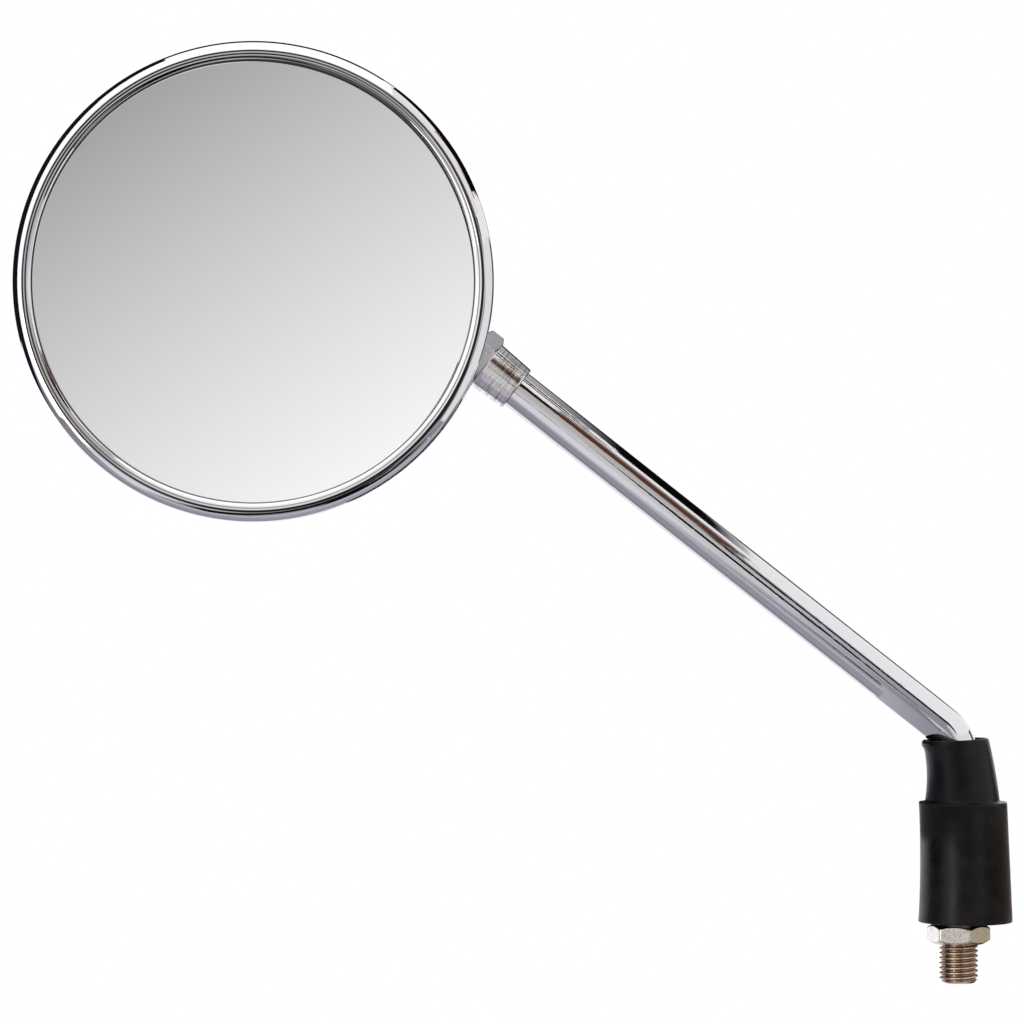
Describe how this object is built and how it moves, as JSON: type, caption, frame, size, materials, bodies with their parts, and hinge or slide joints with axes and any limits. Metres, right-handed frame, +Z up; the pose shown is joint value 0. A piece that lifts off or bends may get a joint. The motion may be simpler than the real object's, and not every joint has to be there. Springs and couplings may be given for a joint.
{
  "type": "motorcycle mirror",
  "caption": "Round handlebar mirror with a double-beaded chrome rim on a ball joint, a bent rod stalk with a rubber boot, and a threaded stud with a lock nut.",
  "frame": {"origin": "on the stud's axis, at the lock nut's lower face", "axes": "+Z up the stud, the stalk leans towards -X, and the glass faces -Y"},
  "size_m": [0.251, 0.0343, 0.2363],
  "materials": {
    "chrome_rod": "bright plated, drawn rod",
    "turned_steel": "plated over fine turning marks",
    "zinc": "clear zinc plate, slightly speckled",
    "boot_rubber": "moulded, satin",
    "chrome_rim": "bright plated, rolled sheet",
    "chrome_shell": "bright plated, pressed sheet",
    "silvered_glass": "silvered convex glass",
    "gasket_rubber": "moulded, matt",
    "nylon": "moulded, natural",
    "plain_steel": "turned and stamped",
    "spring_steel": "oiled"
  },
  "bodies": {
    "stem": {"stalk": "chrome_rod", "rubber_boot": "boot_rubber", "ball_pin": "turned_steel"},
    "nut": {"lock_nut": "zinc"},
    "front_liner": {"front_liner": "nylon"},
    "rear_liner": {"rear_liner": "nylon"},
    "head": {"ball_socket": "chrome_shell", "pressure_cup": "plain_steel", "pressure_spring": "spring_steel", "spring_seat": "plain_steel", "snap_ring": "spring_steel", "shell": "chrome_shell", "bezel": "chrome_rim", "glass_gasket": "gasket_rubber", "mirror_glass": "silvered_glass"}
  },
  "joints": [
    {"name": "lock_nut_turn", "type": "hinge", "parent": "stem", "child": "nut", "pos_m": [0, 0, 0], "axis": [0, 0, 1], "continuous": true},
    {"name": "head_spin", "type": "hinge", "parent": "stem", "child": "front_liner", "pos_m": [-0.13103, 0, 0.15528], "axis": [0.7848, 0, -0.6198], "continuous": true},
    {"name": "head_roll", "type": "hinge", "parent": "front_liner", "child": "rear_liner", "pos_m": [-0.13103, 0, 0.15528], "axis": [0, 1, 0], "range_deg": [-10, 15]},
    {"name": "head_nod", "type": "hinge", "parent": "rear_liner", "child": "head", "pos_m": [-0.13103, 0, 0.15528], "axis": [-0.6198, 0, -0.7848], "range_deg": [-12, 12]}
  ]
}
